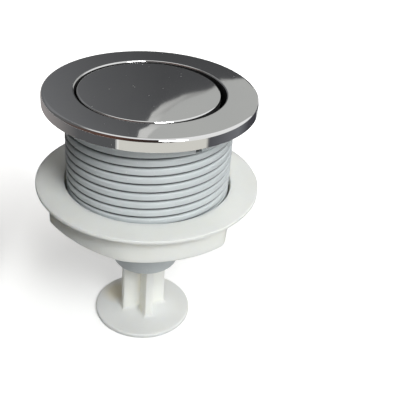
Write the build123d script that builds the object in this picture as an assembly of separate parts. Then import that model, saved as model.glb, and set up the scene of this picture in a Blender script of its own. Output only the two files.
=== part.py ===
from build123d import *
from math import atan2, cos, hypot, radians, sin, tan
import os

# Push button cistern actuator, in millimetres.
# The seat plane, where the bezel rests on the cistern lid, is z = 0 and the axis is Z, up.
# Angles are measured from +X, counter-clockwise seen from above.

# Thread of barrel and nut: two starts, wide crests and narrow grooves
thread_diameter = 58.4
thread_pitch = 3.1
thread_starts = 2
thread_crest_share = 0.66
thread_root_share = 0.11
thread_flank_angle = 18.0
thread_phase = -3.44
thread_lead_in = 2.8
thread_root_step = 0.04
thread_seam_angle = 77.0

# Threaded barrel
barrel_length = 46.0
barrel_wall = 1.5
barrel_floor = 2.5
band_depth = 5.2
band_step = 0.1
boss_wall = 2.4
boss_height = 3.0
gusset_count = 8
gusset_width = 1.6
gusset_height = 6.0

# Bezel: a plated ring that hides the top of the barrel
bezel_overhang = 7.3
bezel_rim_height = 4.4
bezel_plate = 2.0
bezel_rim_wall = 1.6
bezel_lip_radius = 1.2
bezel_bore_edge = 0.5
bezel_skirt_wall = 0.9
bezel_skirt_depth = 7.0

# Snap lugs of the bezel and their windows in the barrel
lug_count = 4
lug_angle = -57.5
lug_width = 1.9
lug_top = -2.5
lug_height = 2.3
lug_inset = 0.9
lug_play = 0.25

# Button cap, its carrier and how far it goes down
button_gap = 1.5
button_offset = 0.5
button_travel = 9.0
cap_recess = 0.3
cap_wall = 1.6
cap_edge_radius = 0.8
cap_flange_height = 1.4
cap_snap_reach = 0.5
carrier_plate = 2.2
carrier_hub_wall = 2.6
carrier_hub_length = 21.0
carrier_rib_count = 6
carrier_rib_width = 1.6
carrier_rib_height = 11.0

# Push rod with its foot
rod_span = 16.9
rod_rib = 3.1
rod_rib_angle = -72.2
rod_reach = 26.4
rod_spigot_diameter = 9.8
rod_spigot_length = 19.0
rod_spigot_root = 8.0
foot_diameter = 37.6
foot_thickness = 1.8
foot_root_radius = 1.0
foot_edge_radius = 0.5

# Guide tube in the floor of the barrel
guide_margin = 3.9
guide_wall = 2.15
guide_drop = 19.0
guide_cross_length = 8.0
guide_flange = 2.0
guide_flange_margin = 3.0

# Return spring
spring_wire = 1.3
spring_wire_sides = 8
spring_turns = 6.0

# Tapping screw
screw_head_diameter = 7.4
screw_head_height = 2.2
screw_shank_diameter = 3.4
screw_length = 14.0
screw_point = 2.5
screw_slot = 1.0
screw_slot_depth = 1.4

# Lock nut
nut_drop = 29.8
nut_height = 11.5
nut_corner_depth = 7.6
nut_long_side_depth = 6.8
nut_short_side_depth = 6.0
nut_long_side_turn = 60.0
nut_short_side_turn = 55.0
nut_corner_angle = -103.0
nut_corner_radius = 7.0
nut_flat_corner_radius = 4.0
nut_flange_overhang = 10.7
nut_flange_edge = 1.3
nut_flange_root = 2.4
nut_flange_lip = 0.4
nut_thread_wall = 2.0
nut_outer_wall = 1.8
nut_web = 3.2
nut_pocket_share = 0.75
nut_rib_count = 12
nut_rib_width = 1.6
nut_rib_recess = 1.2
nut_edge_radius = 0.6
nut_counterbore_play = 0.7
nut_counterbore_depth = 3.0
nut_thread_end = 0.3

# Fits
press_gap = 0.05
snap_gap = 0.1
stop_gap = 0.1
thread_gap = 0.15
slide_gap = 0.3
rod_play = 0.6
loose_gap = 0.65

# Radii that follow, from the thread inwards and outwards
thread_lead = thread_pitch * thread_starts
thread_crest = thread_pitch * thread_crest_share
thread_root = thread_pitch * thread_root_share
thread_depth = (thread_pitch - thread_crest - thread_root) / 2 / tan(radians(thread_flank_angle))
crest_radius = thread_diameter / 2
root_radius = crest_radius - thread_depth
band_radius = crest_radius + band_step
barrel_bore = root_radius - barrel_wall
skirt_radius = barrel_bore - snap_gap
bezel_bore = skirt_radius - bezel_skirt_wall
bezel_radius = crest_radius + bezel_overhang
cap_radius = bezel_bore - button_gap
cap_inside = cap_radius - cap_wall
cap_flange_radius = barrel_bore - loose_gap
spigot_radius = rod_spigot_diameter / 2
hub_radius = spigot_radius + press_gap + carrier_hub_wall
guide_radius = rod_span / 2 + guide_margin
guide_bore = guide_radius - guide_wall
floor_hole = guide_radius + slide_gap
spring_radius = guide_radius + slide_gap + spring_wire / 2
guide_flange_radius = spring_radius + spring_wire / 2 + guide_flange_margin
nut_root = crest_radius + thread_gap
nut_tip = root_radius + thread_gap
nut_collar = nut_root + nut_thread_wall
nut_corner = crest_radius + nut_corner_depth
nut_long_side = crest_radius + nut_long_side_depth
nut_short_side = crest_radius + nut_short_side_depth
nut_flange_radius = crest_radius + nut_flange_overhang

# Heights that follow, from the bezel down to the foot
plate_under = bezel_rim_height - bezel_plate
cap_top = bezel_rim_height - cap_recess
cap_under = cap_top - cap_wall
cap_flange_top = -bezel_skirt_depth - stop_gap
cap_bottom = cap_flange_top - cap_flange_height
carrier_under = cap_under - carrier_plate
carrier_rib_under = carrier_under - carrier_rib_height
screw_seat = cap_under - screw_head_height - slide_gap
hub_bottom = -carrier_hub_length
rod_shoulder = hub_bottom - stop_gap
spigot_top = rod_shoulder + rod_spigot_length
barrel_bottom = -barrel_length
floor_top = barrel_bottom + barrel_floor
spring_seat = floor_top + guide_flange
guide_top = carrier_rib_under - button_travel - 2 * stop_gap
guide_bottom = barrel_bottom - guide_drop
foot_bottom = guide_bottom - rod_reach
foot_top = foot_bottom + foot_thickness
nut_top = -nut_drop
nut_bottom = nut_top - nut_height


def turned(*points):
    """Solid of revolution about Z from a closed outline of (radius, height) points."""
    return revolve(make_face(Plane.XZ * Polyline(*points, close=True)), Axis.Z)


def rings_at(part, radius, height):
    """Circular edges of the part with this radius at this height."""
    found = part.edges().filter_by(GeomType.CIRCLE)
    found = found.filter_by(lambda e: abs(e.radius - radius) < 1e-3)
    return found.filter_by(lambda e: abs(e.center(CenterOf.BOUNDING_BOX).Z - height) < 1e-3)


def round_about(count, first_angle=0.0):
    """Turns about Z, evenly spaced."""
    return [Rot(0, 0, first_angle + 360 / count * k) for k in range(count)]


def ridge_half_width(radius):
    """Half the axial width of the barrel's thread ridge at a radius."""
    return thread_crest / 2 + (crest_radius - radius) * tan(radians(thread_flank_angle))


def groove_half_width(radius):
    """Half the axial width of the nut's ridge, which runs in the barrel's groove with play."""
    return thread_pitch / 2 - ridge_half_width(radius) - thread_gap


def thread_ridges(base, floor, tip, half_width, phase, bottom, top):
    """Both starts of a thread in one sweep, because two crests share one outline.

    The outline runs from the base radius, inside the wall, out to the tip. Between the two crests
    it drops to the floor radius. Phase is the height of one crest at angle 0.
    """
    offset = thread_pitch / 2
    middle = phase + offset
    low = middle - (int((middle - bottom) / thread_lead) + 2) * thread_lead
    path = Helix(thread_lead, top - low + thread_lead, base, center=(0, 0, low))
    outline = Polyline(
        (base, low - offset - half_width(base)),
        (tip, low - offset - half_width(tip)),
        (tip, low - offset + half_width(tip)),
        (floor, low - offset + half_width(floor)),
        (floor, low + offset - half_width(floor)),
        (tip, low + offset - half_width(tip)),
        (tip, low + offset + half_width(tip)),
        (base, low + offset + half_width(base)),
        close=True,
    )
    ridges = sweep(make_face(Plane.XZ * outline), path=path, is_frenet=True)
    # Screwed away from angle 0, where the turned solids have their seams
    return Pos(0, 0, thread_lead * thread_seam_angle / 360) * Rot(0, 0, thread_seam_angle) * ridges


def cross_section(span, rib, angle):
    """Flat cross of two ribs, for the rod, its guide and the screw's recess."""
    return Rot(0, 0, angle) * (Rectangle(span, rib) + Rectangle(rib, span))


def make_barrel():
    # The thread on a plain tube, tapered away at the lower end
    body = turned(
        (barrel_bore, 0),
        (root_radius, 0),
        (root_radius, barrel_bottom),
        (barrel_bore, barrel_bottom),
    )
    base = root_radius - barrel_wall / 5
    ridges = thread_ridges(
        base,
        root_radius + thread_root_step,
        crest_radius,
        ridge_half_width,
        thread_phase,
        barrel_bottom,
        -band_depth,
    )
    envelope = turned(
        (base - 1, barrel_bottom + 0.2),
        (crest_radius + 1, barrel_bottom + 0.2 + thread_lead_in),
        (crest_radius + 1, -band_depth + 1),
        (base - 1, -band_depth + 1),
    )
    body += ridges & envelope
    # Smooth band and flange above the thread
    flange_radius = bezel_radius - bezel_rim_wall - snap_gap
    band_inner = barrel_bore + barrel_wall / 4
    body += turned(
        (barrel_bore, plate_under),
        (flange_radius, plate_under),
        (flange_radius, 0),
        (band_radius, 0),
        (band_radius, -band_depth),
        (band_inner, -band_depth),
        (band_inner, 0),
        (barrel_bore, 0),
    )
    # Floor with a boss round the guide tube
    boss_radius = floor_hole + boss_wall
    boss_bottom = barrel_bottom - boss_height
    wall_middle = barrel_bore + barrel_wall / 3
    body += turned(
        (floor_hole, floor_top),
        (wall_middle, floor_top),
        (wall_middle, barrel_bottom),
        (boss_radius, barrel_bottom),
        (boss_radius, boss_bottom),
        (floor_hole, boss_bottom),
    )
    # Gussets that stiffen the floor against the wall
    gusset = Plane.XZ * Polyline(
        (guide_flange_radius + 1, floor_top - barrel_floor / 5),
        (wall_middle, floor_top - barrel_floor / 5),
        (wall_middle, floor_top + gusset_height),
        (barrel_bore - barrel_wall / 2, floor_top + gusset_height),
        close=True,
    )
    gusset = extrude(make_face(gusset), amount=gusset_width / 2, both=True)
    for turn in round_about(gusset_count):
        body += turn * gusset
    # Windows for the bezel's snap lugs
    window = Pos(band_radius, 0, lug_top - lug_height / 2) * Box(
        2 * (band_radius - barrel_bore) + 2,
        lug_width + 2 * lug_play,
        lug_height + 2 * lug_play,
    )
    for turn in round_about(lug_count, lug_angle):
        body -= turn * window
    return body


def make_bezel():
    rim_inside = bezel_radius - bezel_rim_wall
    ring = turned(
        (bezel_bore, bezel_rim_height),
        (bezel_radius, bezel_rim_height),
        (bezel_radius, 0),
        (rim_inside, 0),
        (rim_inside, plate_under),
        (skirt_radius, plate_under),
        (skirt_radius, -bezel_skirt_depth),
        (bezel_bore, -bezel_skirt_depth),
    )
    ring = fillet(rings_at(ring, bezel_radius, bezel_rim_height), bezel_lip_radius)
    ring = fillet(rings_at(ring, bezel_bore, bezel_rim_height), bezel_bore_edge)
    # A lug is a wedge: square on top, where it catches, and sloped below
    root = skirt_radius - bezel_skirt_wall / 2
    wedge = Plane.XZ * Polyline(
        (root, lug_top),
        (band_radius - lug_inset, lug_top),
        (root, lug_top - lug_height),
        close=True,
    )
    lug = extrude(make_face(wedge), amount=lug_width / 2, both=True)
    for turn in round_about(lug_count, lug_angle):
        ring += turn * lug
    return ring


def make_cap():
    snap_top = carrier_under - snap_gap
    cap = turned(
        (0, cap_top),
        (cap_radius, cap_top),
        (cap_radius, cap_flange_top),
        (cap_flange_radius, cap_flange_top),
        (cap_flange_radius, cap_bottom),
        (cap_inside, cap_bottom),
        (cap_inside, snap_top - 2 * cap_snap_reach),
        (cap_inside - cap_snap_reach, snap_top - cap_snap_reach),
        (cap_inside - cap_snap_reach, snap_top),
        (cap_inside, snap_top),
        (cap_inside, cap_under),
        (0, cap_under),
    )
    return fillet(rings_at(cap, cap_radius, cap_top), cap_edge_radius)


def make_carrier():
    socket = spigot_radius + press_gap
    socket_top = spigot_top + snap_gap
    head = screw_head_diameter / 2 + slide_gap
    shank = screw_shank_diameter / 2 + slide_gap
    carrier = turned(
        (head, cap_under),
        (cap_inside - snap_gap, cap_under),
        (cap_inside - snap_gap, carrier_under),
        (hub_radius, carrier_under),
        (hub_radius, hub_bottom),
        (socket, hub_bottom),
        (socket, socket_top),
        (shank, socket_top),
        (shank, screw_seat),
        (head, screw_seat),
    )
    # Ribs inside the spring; they land on the guide tube at the end of the travel
    root = hub_radius - carrier_hub_wall / 4
    reach = guide_radius - button_offset - stop_gap
    rib_top = carrier_under + carrier_plate / 4
    rib = Pos((reach + root) / 2, 0, (rib_top + carrier_rib_under) / 2) * Box(
        reach - root,
        carrier_rib_width,
        rib_top - carrier_rib_under,
    )
    for turn in round_about(carrier_rib_count):
        carrier += turn * rib
    return carrier


def make_screw():
    head = screw_head_diameter / 2
    head_top = screw_seat + screw_head_height
    shank = screw_shank_diameter / 2
    tip = screw_seat - screw_length
    screw = turned(
        (0, head_top),
        (head * 0.8, head_top),
        (head, head_top - screw_head_height * 0.4),
        (head, screw_seat),
        (shank, screw_seat),
        (shank, tip + screw_point),
        (0, tip),
    )
    slot = cross_section(screw_head_diameter * 0.55, screw_slot, 0)
    return screw - extrude(Pos(0, 0, head_top - screw_slot_depth) * slot, amount=2 * screw_slot_depth)


def make_spring():
    length = carrier_under - spring_seat
    pitch = (length - spring_wire) / spring_turns
    start = spring_seat + spring_wire / 2
    path = Helix(pitch, length - spring_wire, spring_radius, center=(0, 0, start))
    # Eight sides are enough for a wire this thin
    wire = Plane(path @ 0, z_dir=path % 0) * RegularPolygon(spring_wire / 2, spring_wire_sides)
    coil = sweep(wire, path=path, is_frenet=True)
    # Both ends ground flat
    slab = Pos(0, 0, (carrier_under + spring_seat) / 2) * Cylinder(
        spring_radius + 2 * spring_wire,
        length - 2 * stop_gap,
    )
    return coil & slab


def make_guide():
    cross_top = guide_bottom + guide_cross_length
    tube = turned(
        (guide_bore, guide_top),
        (guide_radius, guide_top),
        (guide_radius, spring_seat),
        (guide_flange_radius, spring_seat),
        (guide_flange_radius, floor_top),
        (guide_radius, floor_top),
        (guide_radius, guide_bottom),
        (0, guide_bottom),
        (0, cross_top),
        (guide_bore, cross_top),
    )
    hole = cross_section(rod_span + 2 * rod_play, rod_rib + 2 * rod_play, rod_rib_angle)
    return tube - extrude(Pos(0, 0, guide_bottom - 1) * hole, amount=guide_cross_length + 2)


def polar(reach, angle):
    """Flat point at a distance and an angle, in degrees, from the axis."""
    return (reach * cos(radians(angle)), reach * sin(radians(angle)))


def nut_outline():
    """Two pairs of bowed sides, and between the pairs two flats for a spanner."""
    lines = []
    for front in (nut_corner_angle, nut_corner_angle + 180):
        left = front - nut_short_side_turn
        right = front + nut_long_side_turn
        short_middle = polar(nut_short_side, (left + front) / 2)
        long_middle = polar(nut_long_side, (front + right) / 2)
        corner = polar(nut_corner, front)
        flat_start = polar(nut_corner, right)
        flat_end = polar(nut_corner, left + 180)
        lines.append(ThreePointArc(polar(nut_corner, left), short_middle, corner))
        lines.append(ThreePointArc(corner, long_middle, flat_start))
        lines.append(Line(flat_start, flat_end))
    face = make_face(lines)
    between_bows = []
    for vertex in face.vertices():
        turned_by = atan2(vertex.Y, vertex.X) - radians(nut_corner_angle)
        if abs(sin(turned_by)) < 0.1:
            between_bows.append(vertex)
    face = fillet(between_bows, nut_corner_radius)
    at_flats = []
    for vertex in face.vertices():
        if abs(hypot(vertex.X, vertex.Y) - nut_corner) < 1e-3:
            at_flats.append(vertex)
    return fillet(at_flats, nut_flat_corner_radius)


def make_nut():
    web_under = nut_top - nut_web
    flange = turned(
        (nut_root, nut_top),
        (nut_flange_radius, nut_top),
        (nut_flange_radius, nut_top - nut_flange_edge),
        (nut_collar, nut_top - nut_flange_root),
        (nut_root, nut_top - nut_flange_root),
    )
    flange = fillet(rings_at(flange, nut_flange_radius, nut_top), nut_flange_lip)
    hexagon_height = nut_height - nut_flange_edge / 2
    hexagon = extrude(Pos(0, 0, nut_bottom) * nut_outline(), amount=hexagon_height)
    hexagon = fillet(hexagon.edges().group_by(Axis.Z)[0], nut_edge_radius)
    nut = hexagon + flange
    nut -= Pos(0, 0, (nut_top + nut_bottom) / 2) * Cylinder(nut_root, nut_height + 2)
    # Cored from below, as a moulding of even wall is, with ribs left across the core
    ring = Circle(nut_short_side - nut_outer_wall) - Circle(nut_collar)
    flat_middle = nut_corner_angle + 90 + (nut_long_side_turn - nut_short_side_turn) / 2
    ring &= Rot(0, 0, flat_middle) * Rectangle(nut_pocket_share * 2 * nut_collar, 4 * nut_corner)
    core = extrude(Pos(0, 0, nut_bottom - 1) * ring, amount=web_under - nut_bottom + 1)
    rib = Pos(nut_collar, 0, (web_under + nut_bottom) / 2 + nut_rib_recess) * Box(
        2 * (nut_corner - nut_collar),
        nut_rib_width,
        web_under - nut_bottom,
    )
    for turn in round_about(nut_rib_count, nut_corner_angle):
        core -= turn * rib
    nut -= core
    # Clearance at the top, then the thread that runs in the barrel's grooves
    nut -= Pos(0, 0, nut_top - nut_counterbore_depth / 2) * Cylinder(
        crest_radius + nut_counterbore_play,
        nut_counterbore_depth,
    )
    base = nut_root + nut_thread_wall / 6
    low = nut_bottom + nut_thread_end
    high = nut_top - nut_counterbore_depth - nut_thread_end
    ridges = thread_ridges(
        base,
        nut_root - thread_root_step,
        nut_tip,
        groove_half_width,
        thread_phase + thread_pitch / 2,
        low,
        high,
    )
    envelope = turned((nut_tip - 1, low), (base + 1, low), (base + 1, high), (nut_tip - 1, high))
    return nut + (ridges & envelope)


def make_rod():
    cross = cross_section(rod_span, rod_rib, rod_rib_angle)
    sunk = foot_thickness / 3
    stem = extrude(Pos(0, 0, foot_top - sunk) * cross, amount=rod_shoulder - foot_top + sunk)
    spigot = turned(
        (0, rod_shoulder - rod_spigot_root),
        (spigot_radius, rod_shoulder - rod_spigot_root),
        (spigot_radius, spigot_top - 0.6),
        (spigot_radius - 0.6, spigot_top),
        (0, spigot_top),
    )
    foot = turned(
        (0, foot_bottom),
        (foot_diameter / 2, foot_bottom),
        (foot_diameter / 2, foot_top),
        (0, foot_top),
    )
    foot = fillet(foot.edges().filter_by(GeomType.CIRCLE), foot_edge_radius)
    rod = foot + stem + spigot
    corners = rod.edges().filter_by(GeomType.LINE)
    corners = corners.filter_by(lambda e: abs(e.center().Z - foot_top) < 1e-3)
    rod = fillet(corners, foot_root_radius)
    # Pilot hole for the screw, a little deeper than the screw's point
    depth = spigot_top - screw_seat + screw_length + 1
    pilot = Pos(0, 0, spigot_top - depth / 2 + 0.5) * Cylinder(
        screw_shank_diameter / 2 + press_gap,
        depth + 1,
    )
    return rod - pilot


# The button and what hangs on it rest to the left in their play, as in the photograph
button_place = Pos(-button_offset, 0, 0)
os.makedirs("parts", exist_ok=True)
export_step(make_barrel(), "parts/threaded_barrel.step")
export_step(make_guide(), "parts/guide_tube.step")
export_step(make_spring(), "parts/return_spring.step")
export_step(button_place * make_rod(), "parts/push_rod.step")
export_step(button_place * make_carrier(), "parts/button_carrier.step")
export_step(button_place * make_screw(), "parts/rod_screw.step")
export_step(button_place * make_cap(), "parts/button_cap.step")
export_step(make_bezel(), "parts/bezel.step")
export_step(make_nut(), "parts/lock_nut.step")
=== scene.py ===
import bmesh
import bpy
from math import atan2, cos, degrees, exp, hypot, log, pi, radians, sin, sqrt, tan
from mathutils import Matrix, Vector


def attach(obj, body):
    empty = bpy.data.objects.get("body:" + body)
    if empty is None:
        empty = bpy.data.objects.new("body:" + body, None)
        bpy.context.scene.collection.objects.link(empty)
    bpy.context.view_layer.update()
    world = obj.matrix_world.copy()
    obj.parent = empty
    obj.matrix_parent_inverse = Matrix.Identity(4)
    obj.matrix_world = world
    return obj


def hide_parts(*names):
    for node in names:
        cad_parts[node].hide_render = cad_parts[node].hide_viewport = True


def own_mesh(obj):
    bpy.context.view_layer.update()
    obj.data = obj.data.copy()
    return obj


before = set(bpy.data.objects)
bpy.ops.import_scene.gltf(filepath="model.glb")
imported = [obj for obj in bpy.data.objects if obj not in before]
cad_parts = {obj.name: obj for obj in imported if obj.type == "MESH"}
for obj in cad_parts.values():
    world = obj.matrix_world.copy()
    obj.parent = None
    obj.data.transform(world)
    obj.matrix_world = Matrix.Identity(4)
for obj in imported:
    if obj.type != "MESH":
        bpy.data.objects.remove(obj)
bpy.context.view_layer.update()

# Threaded barrel
# The body of the actuator: an injection-moulded tube of blue-grey plastic with a coarse two-start thread.
# A smooth band and a flange at its top carry the bezel, and a floor at its foot holds the guide tube.
# Lengths are given in millimetres, and mm turns them into the scene's metres.
mm = 0.001
crest_radius = 29.2
thread_pitch = 3.1
thread_lead = 2 * thread_pitch
thread_depth = 1.1
crest_width = 2.05
crest_bow = 0.14
root_width = 0.34
crest_rounding = 0.22
root_rounding = 0.1
root_radius = crest_radius - thread_depth
first_crest = -3.44
lead_in = 2.8
barrel_bore = 26.6
barrel_bottom = -46.0
band_radius = 29.3
band_bottom = -5.75
flange_radius = 34.8
flange_top = 2.4
floor_top = -43.5
floor_hole = 12.65
boss_radius = 15.05
boss_bottom = -49.0
tube_radius = root_radius - 0.1
thread_foot = barrel_bottom + 0.2
thread_head = band_bottom + 0.1
thread_back = root_radius - 0.6
window_count = 4
window_angle = -57.5
window_width = 2.4
window_low = -5.5
window_high = -2.25
seam_angles = (-147.7, 32.3)
seam_half = 0.14
seam_inner = root_radius - 0.4
seam_outer = crest_radius - 0.55
seam_foot = barrel_bottom + 2
gusset_count = 8
gusset_width = 1.6
gusset_outline = ((17.9, -43.8), (26.9, -43.8), (26.9, -37.5), (25.8, -37.5))
steps_per_turn = 144
corner_steps = 4
weld_gap = 1e-6
thread_weld_gap = 1e-5
cut_gap = 1e-7
sharp_angle = radians(38)


def verts_in(geom):
    """The vertices among what an operator gives back."""
    return [v for v in geom if isinstance(v, bmesh.types.BMVert)]


def open_edges_in(geom):
    """The open edges among what an operator gives back."""
    return [e for e in geom if isinstance(e, bmesh.types.BMEdge) and e.is_boundary]


def faces_on(verts):
    """Every face that uses one of the vertices."""
    return list({f for v in verts for f in v.link_faces})


def joined(verts):
    """Vertices together with every edge and face on them."""
    return [*verts, *{e for v in verts for e in v.link_edges}, *faces_on(verts)]


def added(bm, known):
    """The vertices that have come since the known ones were noted."""
    return [v for v in bm.verts if v not in known]


def outlined(bm, outline, closed):
    """Draws an outline of (radius, height, rounding) corners in the plane of the axis, and rounds them."""
    known = set(bm.verts)
    corners = [bm.verts.new((r * mm, 0, z * mm)) for r, z, rounding in outline]
    ends = corners[1:] + corners[:1] if closed else corners[1:]
    for pair in zip(corners, ends):
        bm.edges.new(pair)
    roundings = [rounding for r, z, rounding in outline]
    for radius in sorted(set(roundings) - {0}):
        chosen = [c for c, rounding in zip(corners, roundings) if rounding == radius]
        bmesh.ops.bevel(bm, geom=chosen, offset=radius * mm, offset_type="OFFSET", affect="VERTICES",
                        segments=corner_steps, profile=0.5, material=-1, clamp_overlap=True)
    edges = [e for e in bm.edges if e.verts[0] not in known]
    return added(bm, known), edges


def turned(bm, outline, steps=steps_per_turn):
    """Spins a closed outline once round the axis, as a lathe or a round mould would shape it."""
    known = set(bm.verts)
    verts, edges = outlined(bm, outline, closed=True)
    bmesh.ops.spin(bm, geom=verts + edges, cent=(0, 0, 0), axis=(0, 0, 1), angle=2 * pi,
                   steps=steps, use_merge=True)
    bmesh.ops.remove_doubles(bm, verts=added(bm, known), dist=weld_gap)
    bmesh.ops.delete(bm, geom=[e for e in bm.edges if e.is_wire], context="EDGES")
    bmesh.ops.recalc_face_normals(bm, faces=faces_on(added(bm, known)))


def thread_outline(root, crest, base, tip, bow, rounding):
    """One lead of thread, two ridges long, from groove to groove, as (radius, height, rounding) corners."""
    outline = [(root, 0.0, 0)]
    for middle in (thread_pitch / 2, thread_pitch * 3 / 2):
        peak = [(crest, middle, 3 * rounding)] if bow else []
        outline += [(root, middle - base / 2, root_rounding), (crest - bow, middle - tip / 2, rounding)]
        outline += peak
        outline += [(crest - bow, middle + tip / 2, rounding), (root, middle + base / 2, root_rounding)]
    outline.append((root, thread_lead, 0))
    return outline


def screwed(bm, outline, first, low, high, hidden_radius, taper=None):
    """Screws the outline of one lead of thread up the axis, trims it flat and closes it behind."""
    known = set(bm.verts)
    turns = int((high - low) / thread_lead) + 3
    start = first - thread_lead * (int((first - low) / thread_lead) + 2)
    verts, edges = outlined(bm, [(r, start + z, rounding) for r, z, rounding in outline], closed=False)
    bmesh.ops.spin(bm, geom=verts + edges, cent=(0, 0, 0), axis=(0, 0, 1), angle=2 * pi,
                   dvec=(0, 0, thread_lead * mm / steps_per_turn), steps=steps_per_turn)
    turn = joined(added(bm, known))
    for k in range(1, turns):
        copied = verts_in(bmesh.ops.duplicate(bm, geom=turn)["geom"])
        bmesh.ops.translate(bm, verts=copied, vec=(0, 0, thread_lead * k * mm))
    bmesh.ops.remove_doubles(bm, verts=added(bm, known), dist=thread_weld_gap)
    for height, side in ((high, 1), (low, -1)):
        bmesh.ops.bisect_plane(bm, geom=joined(added(bm, known)), dist=cut_gap, plane_co=(0, 0, height * mm),
                               plane_no=(0, 0, side), clear_outer=True)
    made = added(bm, known)
    if taper:
        for v in made:
            v.co.xy *= min(1, taper(v.co.z / mm) * mm / hypot(v.co.x, v.co.y))
    rims = [e for e in {e for v in made for e in v.link_edges} if e.is_boundary]
    grown = bmesh.ops.extrude_edge_only(bm, edges=rims)["geom"]
    for v in verts_in(grown):
        v.co.xy *= hidden_radius * mm / hypot(v.co.x, v.co.y)
    bmesh.ops.bridge_loops(bm, edges=open_edges_in(grown))
    bmesh.ops.recalc_face_normals(bm, faces=faces_on(added(bm, known)))


def lead_in_limit(z):
    """Radius that the thread keeps to at a height, so that it rises gently from the barrel's foot."""
    return root_radius + 0.05 + max(0, z - thread_foot) * thread_depth / lead_in


def cut_window(bm, angle, width, low, high, inner, outer):
    """Cuts a four-sided window through the wall of a turned tube at an angle."""
    along = Vector((cos(angle), sin(angle), 0))
    across = Vector((-sin(angle), cos(angle), 0))
    near_side = 0.9 * inner * mm

    def nearby():
        close = []
        for f in bm.faces:
            c = f.calc_center_median()
            heights = [v.co.z for v in f.verts]
            beside = c.dot(along) > near_side and abs(c.dot(across)) < 2.5 * width * mm
            if beside and min(heights) < high * mm and max(heights) > low * mm:
                close.append(f)
        return [*close, *{e for f in close for e in f.edges}, *{v for f in close for v in f.verts}]

    for side in (-1, 1):
        bmesh.ops.bisect_plane(bm, geom=nearby(), dist=cut_gap, plane_co=across * side * width / 2 * mm,
                               plane_no=across)
    for height in (low, high):
        bmesh.ops.bisect_plane(bm, geom=nearby(), dist=cut_gap, plane_co=(0, 0, height * mm),
                               plane_no=(0, 0, 1))
    pane = []
    for f in bm.faces:
        c = f.calc_center_median()
        inside = c.dot(along) > near_side and abs(c.dot(across)) < width / 2 * mm
        if inside and low * mm < c.z < high * mm and hypot(c.x, c.y) < (outer + 0.1) * mm:
            pane.append(f)
    edge = {e for f in pane for e in f.edges if any(g not in pane for g in e.link_faces)}
    bmesh.ops.delete(bm, geom=pane, context="FACES_KEEP_BOUNDARY")
    bmesh.ops.bridge_loops(bm, edges=list(edge))


def block(bm, low, high, turn):
    """A rectangular bar between two corners, turned about the axis."""
    size = [(b - a) * mm for a, b in zip(low, high)]
    middle = [(a + b) / 2 * mm for a, b in zip(low, high)]
    place = Matrix.Rotation(turn, 4, "Z") @ Matrix.Translation(middle) @ Matrix.Diagonal((*size, 1))
    bmesh.ops.create_cube(bm, size=1, matrix=place)


def prism(bm, outline, width, turn):
    """A rib or lug: an outline of (radius, height) corners with a width, turned about the axis."""
    corners = [bm.verts.new((r * mm, -width / 2 * mm, z * mm)) for r, z in outline]
    grown = bmesh.ops.extrude_face_region(bm, geom=[bm.faces.new(corners)], use_keep_orig=True)["geom"]
    far_corners = verts_in(grown)
    bmesh.ops.translate(bm, verts=far_corners, vec=(0, width * mm, 0))
    solid = corners + far_corners
    bmesh.ops.recalc_face_normals(bm, faces=faces_on(solid))
    bmesh.ops.rotate(bm, verts=solid, cent=(0, 0, 0), matrix=Matrix.Rotation(turn, 3, "Z"))


def object_from(name, bm, material):
    """Makes an object of one material from a finished bmesh."""
    mesh = bpy.data.meshes.new(name)
    bm.to_mesh(mesh)
    bm.free()
    mesh.materials.append(material)
    made = bpy.data.objects.new(name, mesh)
    bpy.context.scene.collection.objects.link(made)
    return made


def piece(name, bm, material, body, node):
    """Turns a finished bmesh into a smooth-shaded piece that stands for a CAD node and rides on its body."""
    bmesh.ops.dissolve_degenerate(bm, dist=cut_gap, edges=bm.edges)
    made = object_from(name, bm, material)
    made.data.shade_smooth()
    made.data.set_sharp_from_angle(angle=sharp_angle)
    shading = made.modifiers.new("even shading", "WEIGHTED_NORMAL")
    shading.keep_sharp = True
    shading.weight = 90
    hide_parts(node)
    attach(made, body)
    return made


def node_group(name, inputs, outputs):
    """An empty shader group with named sockets, and its two end nodes."""
    group = bpy.data.node_groups.new(name, "ShaderNodeTree")
    for label, kind, value in inputs:
        socket = group.interface.new_socket(label, in_out="INPUT", socket_type=kind)
        socket.default_value = value
    for label, kind in outputs:
        group.interface.new_socket(label, in_out="OUTPUT", socket_type=kind)
    return group, group.nodes.new("NodeGroupInput"), group.nodes.new("NodeGroupOutput")


def object_place(tree):
    """The place on a piece, in metres."""
    return tree.nodes.new("ShaderNodeTexCoord").outputs["Object"]


def noise(tree, source, scale, detail, roughness=0.5):
    """A noise texture on the given coordinates; scale counts features per metre."""
    texture = tree.nodes.new("ShaderNodeTexNoise")
    texture.inputs["Scale"].default_value = scale
    texture.inputs["Detail"].default_value = detail
    texture.inputs["Roughness"].default_value = roughness
    tree.links.new(source, texture.inputs["Vector"])
    return texture.outputs["Fac"]


def remapped(tree, source, low, high, to_low, to_high):
    """Stretches the range low to high of a value to another range, and holds it there."""
    span = tree.nodes.new("ShaderNodeMapRange")
    for socket, value in zip(("From Min", "From Max", "To Min", "To Max"), (low, high, to_low, to_high)):
        if hasattr(value, "is_linked"):
            tree.links.new(value, span.inputs[socket])
        else:
            span.inputs[socket].default_value = value
    tree.links.new(source, span.inputs["Value"])
    return span.outputs["Result"]


def blended(tree, share, first, second):
    """Mixes two colours, given as sockets or plain values."""
    mix = tree.nodes.new("ShaderNodeMix")
    mix.data_type = "RGBA"
    tree.links.new(share, mix.inputs["Factor"])
    for socket, value in ((mix.inputs[6], first), (mix.inputs[7], second)):
        if hasattr(value, "is_linked"):
            tree.links.new(value, socket)
        else:
            socket.default_value = value
    return mix.outputs[2]


def vector_math(tree, operation, source, other=(0, 0, 0)):
    """A vector operation on a source and a fixed vector."""
    node = tree.nodes.new("ShaderNodeVectorMath")
    node.operation = operation
    node.inputs[1].default_value = other
    tree.links.new(source, node.inputs[0])
    return node.outputs


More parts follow.
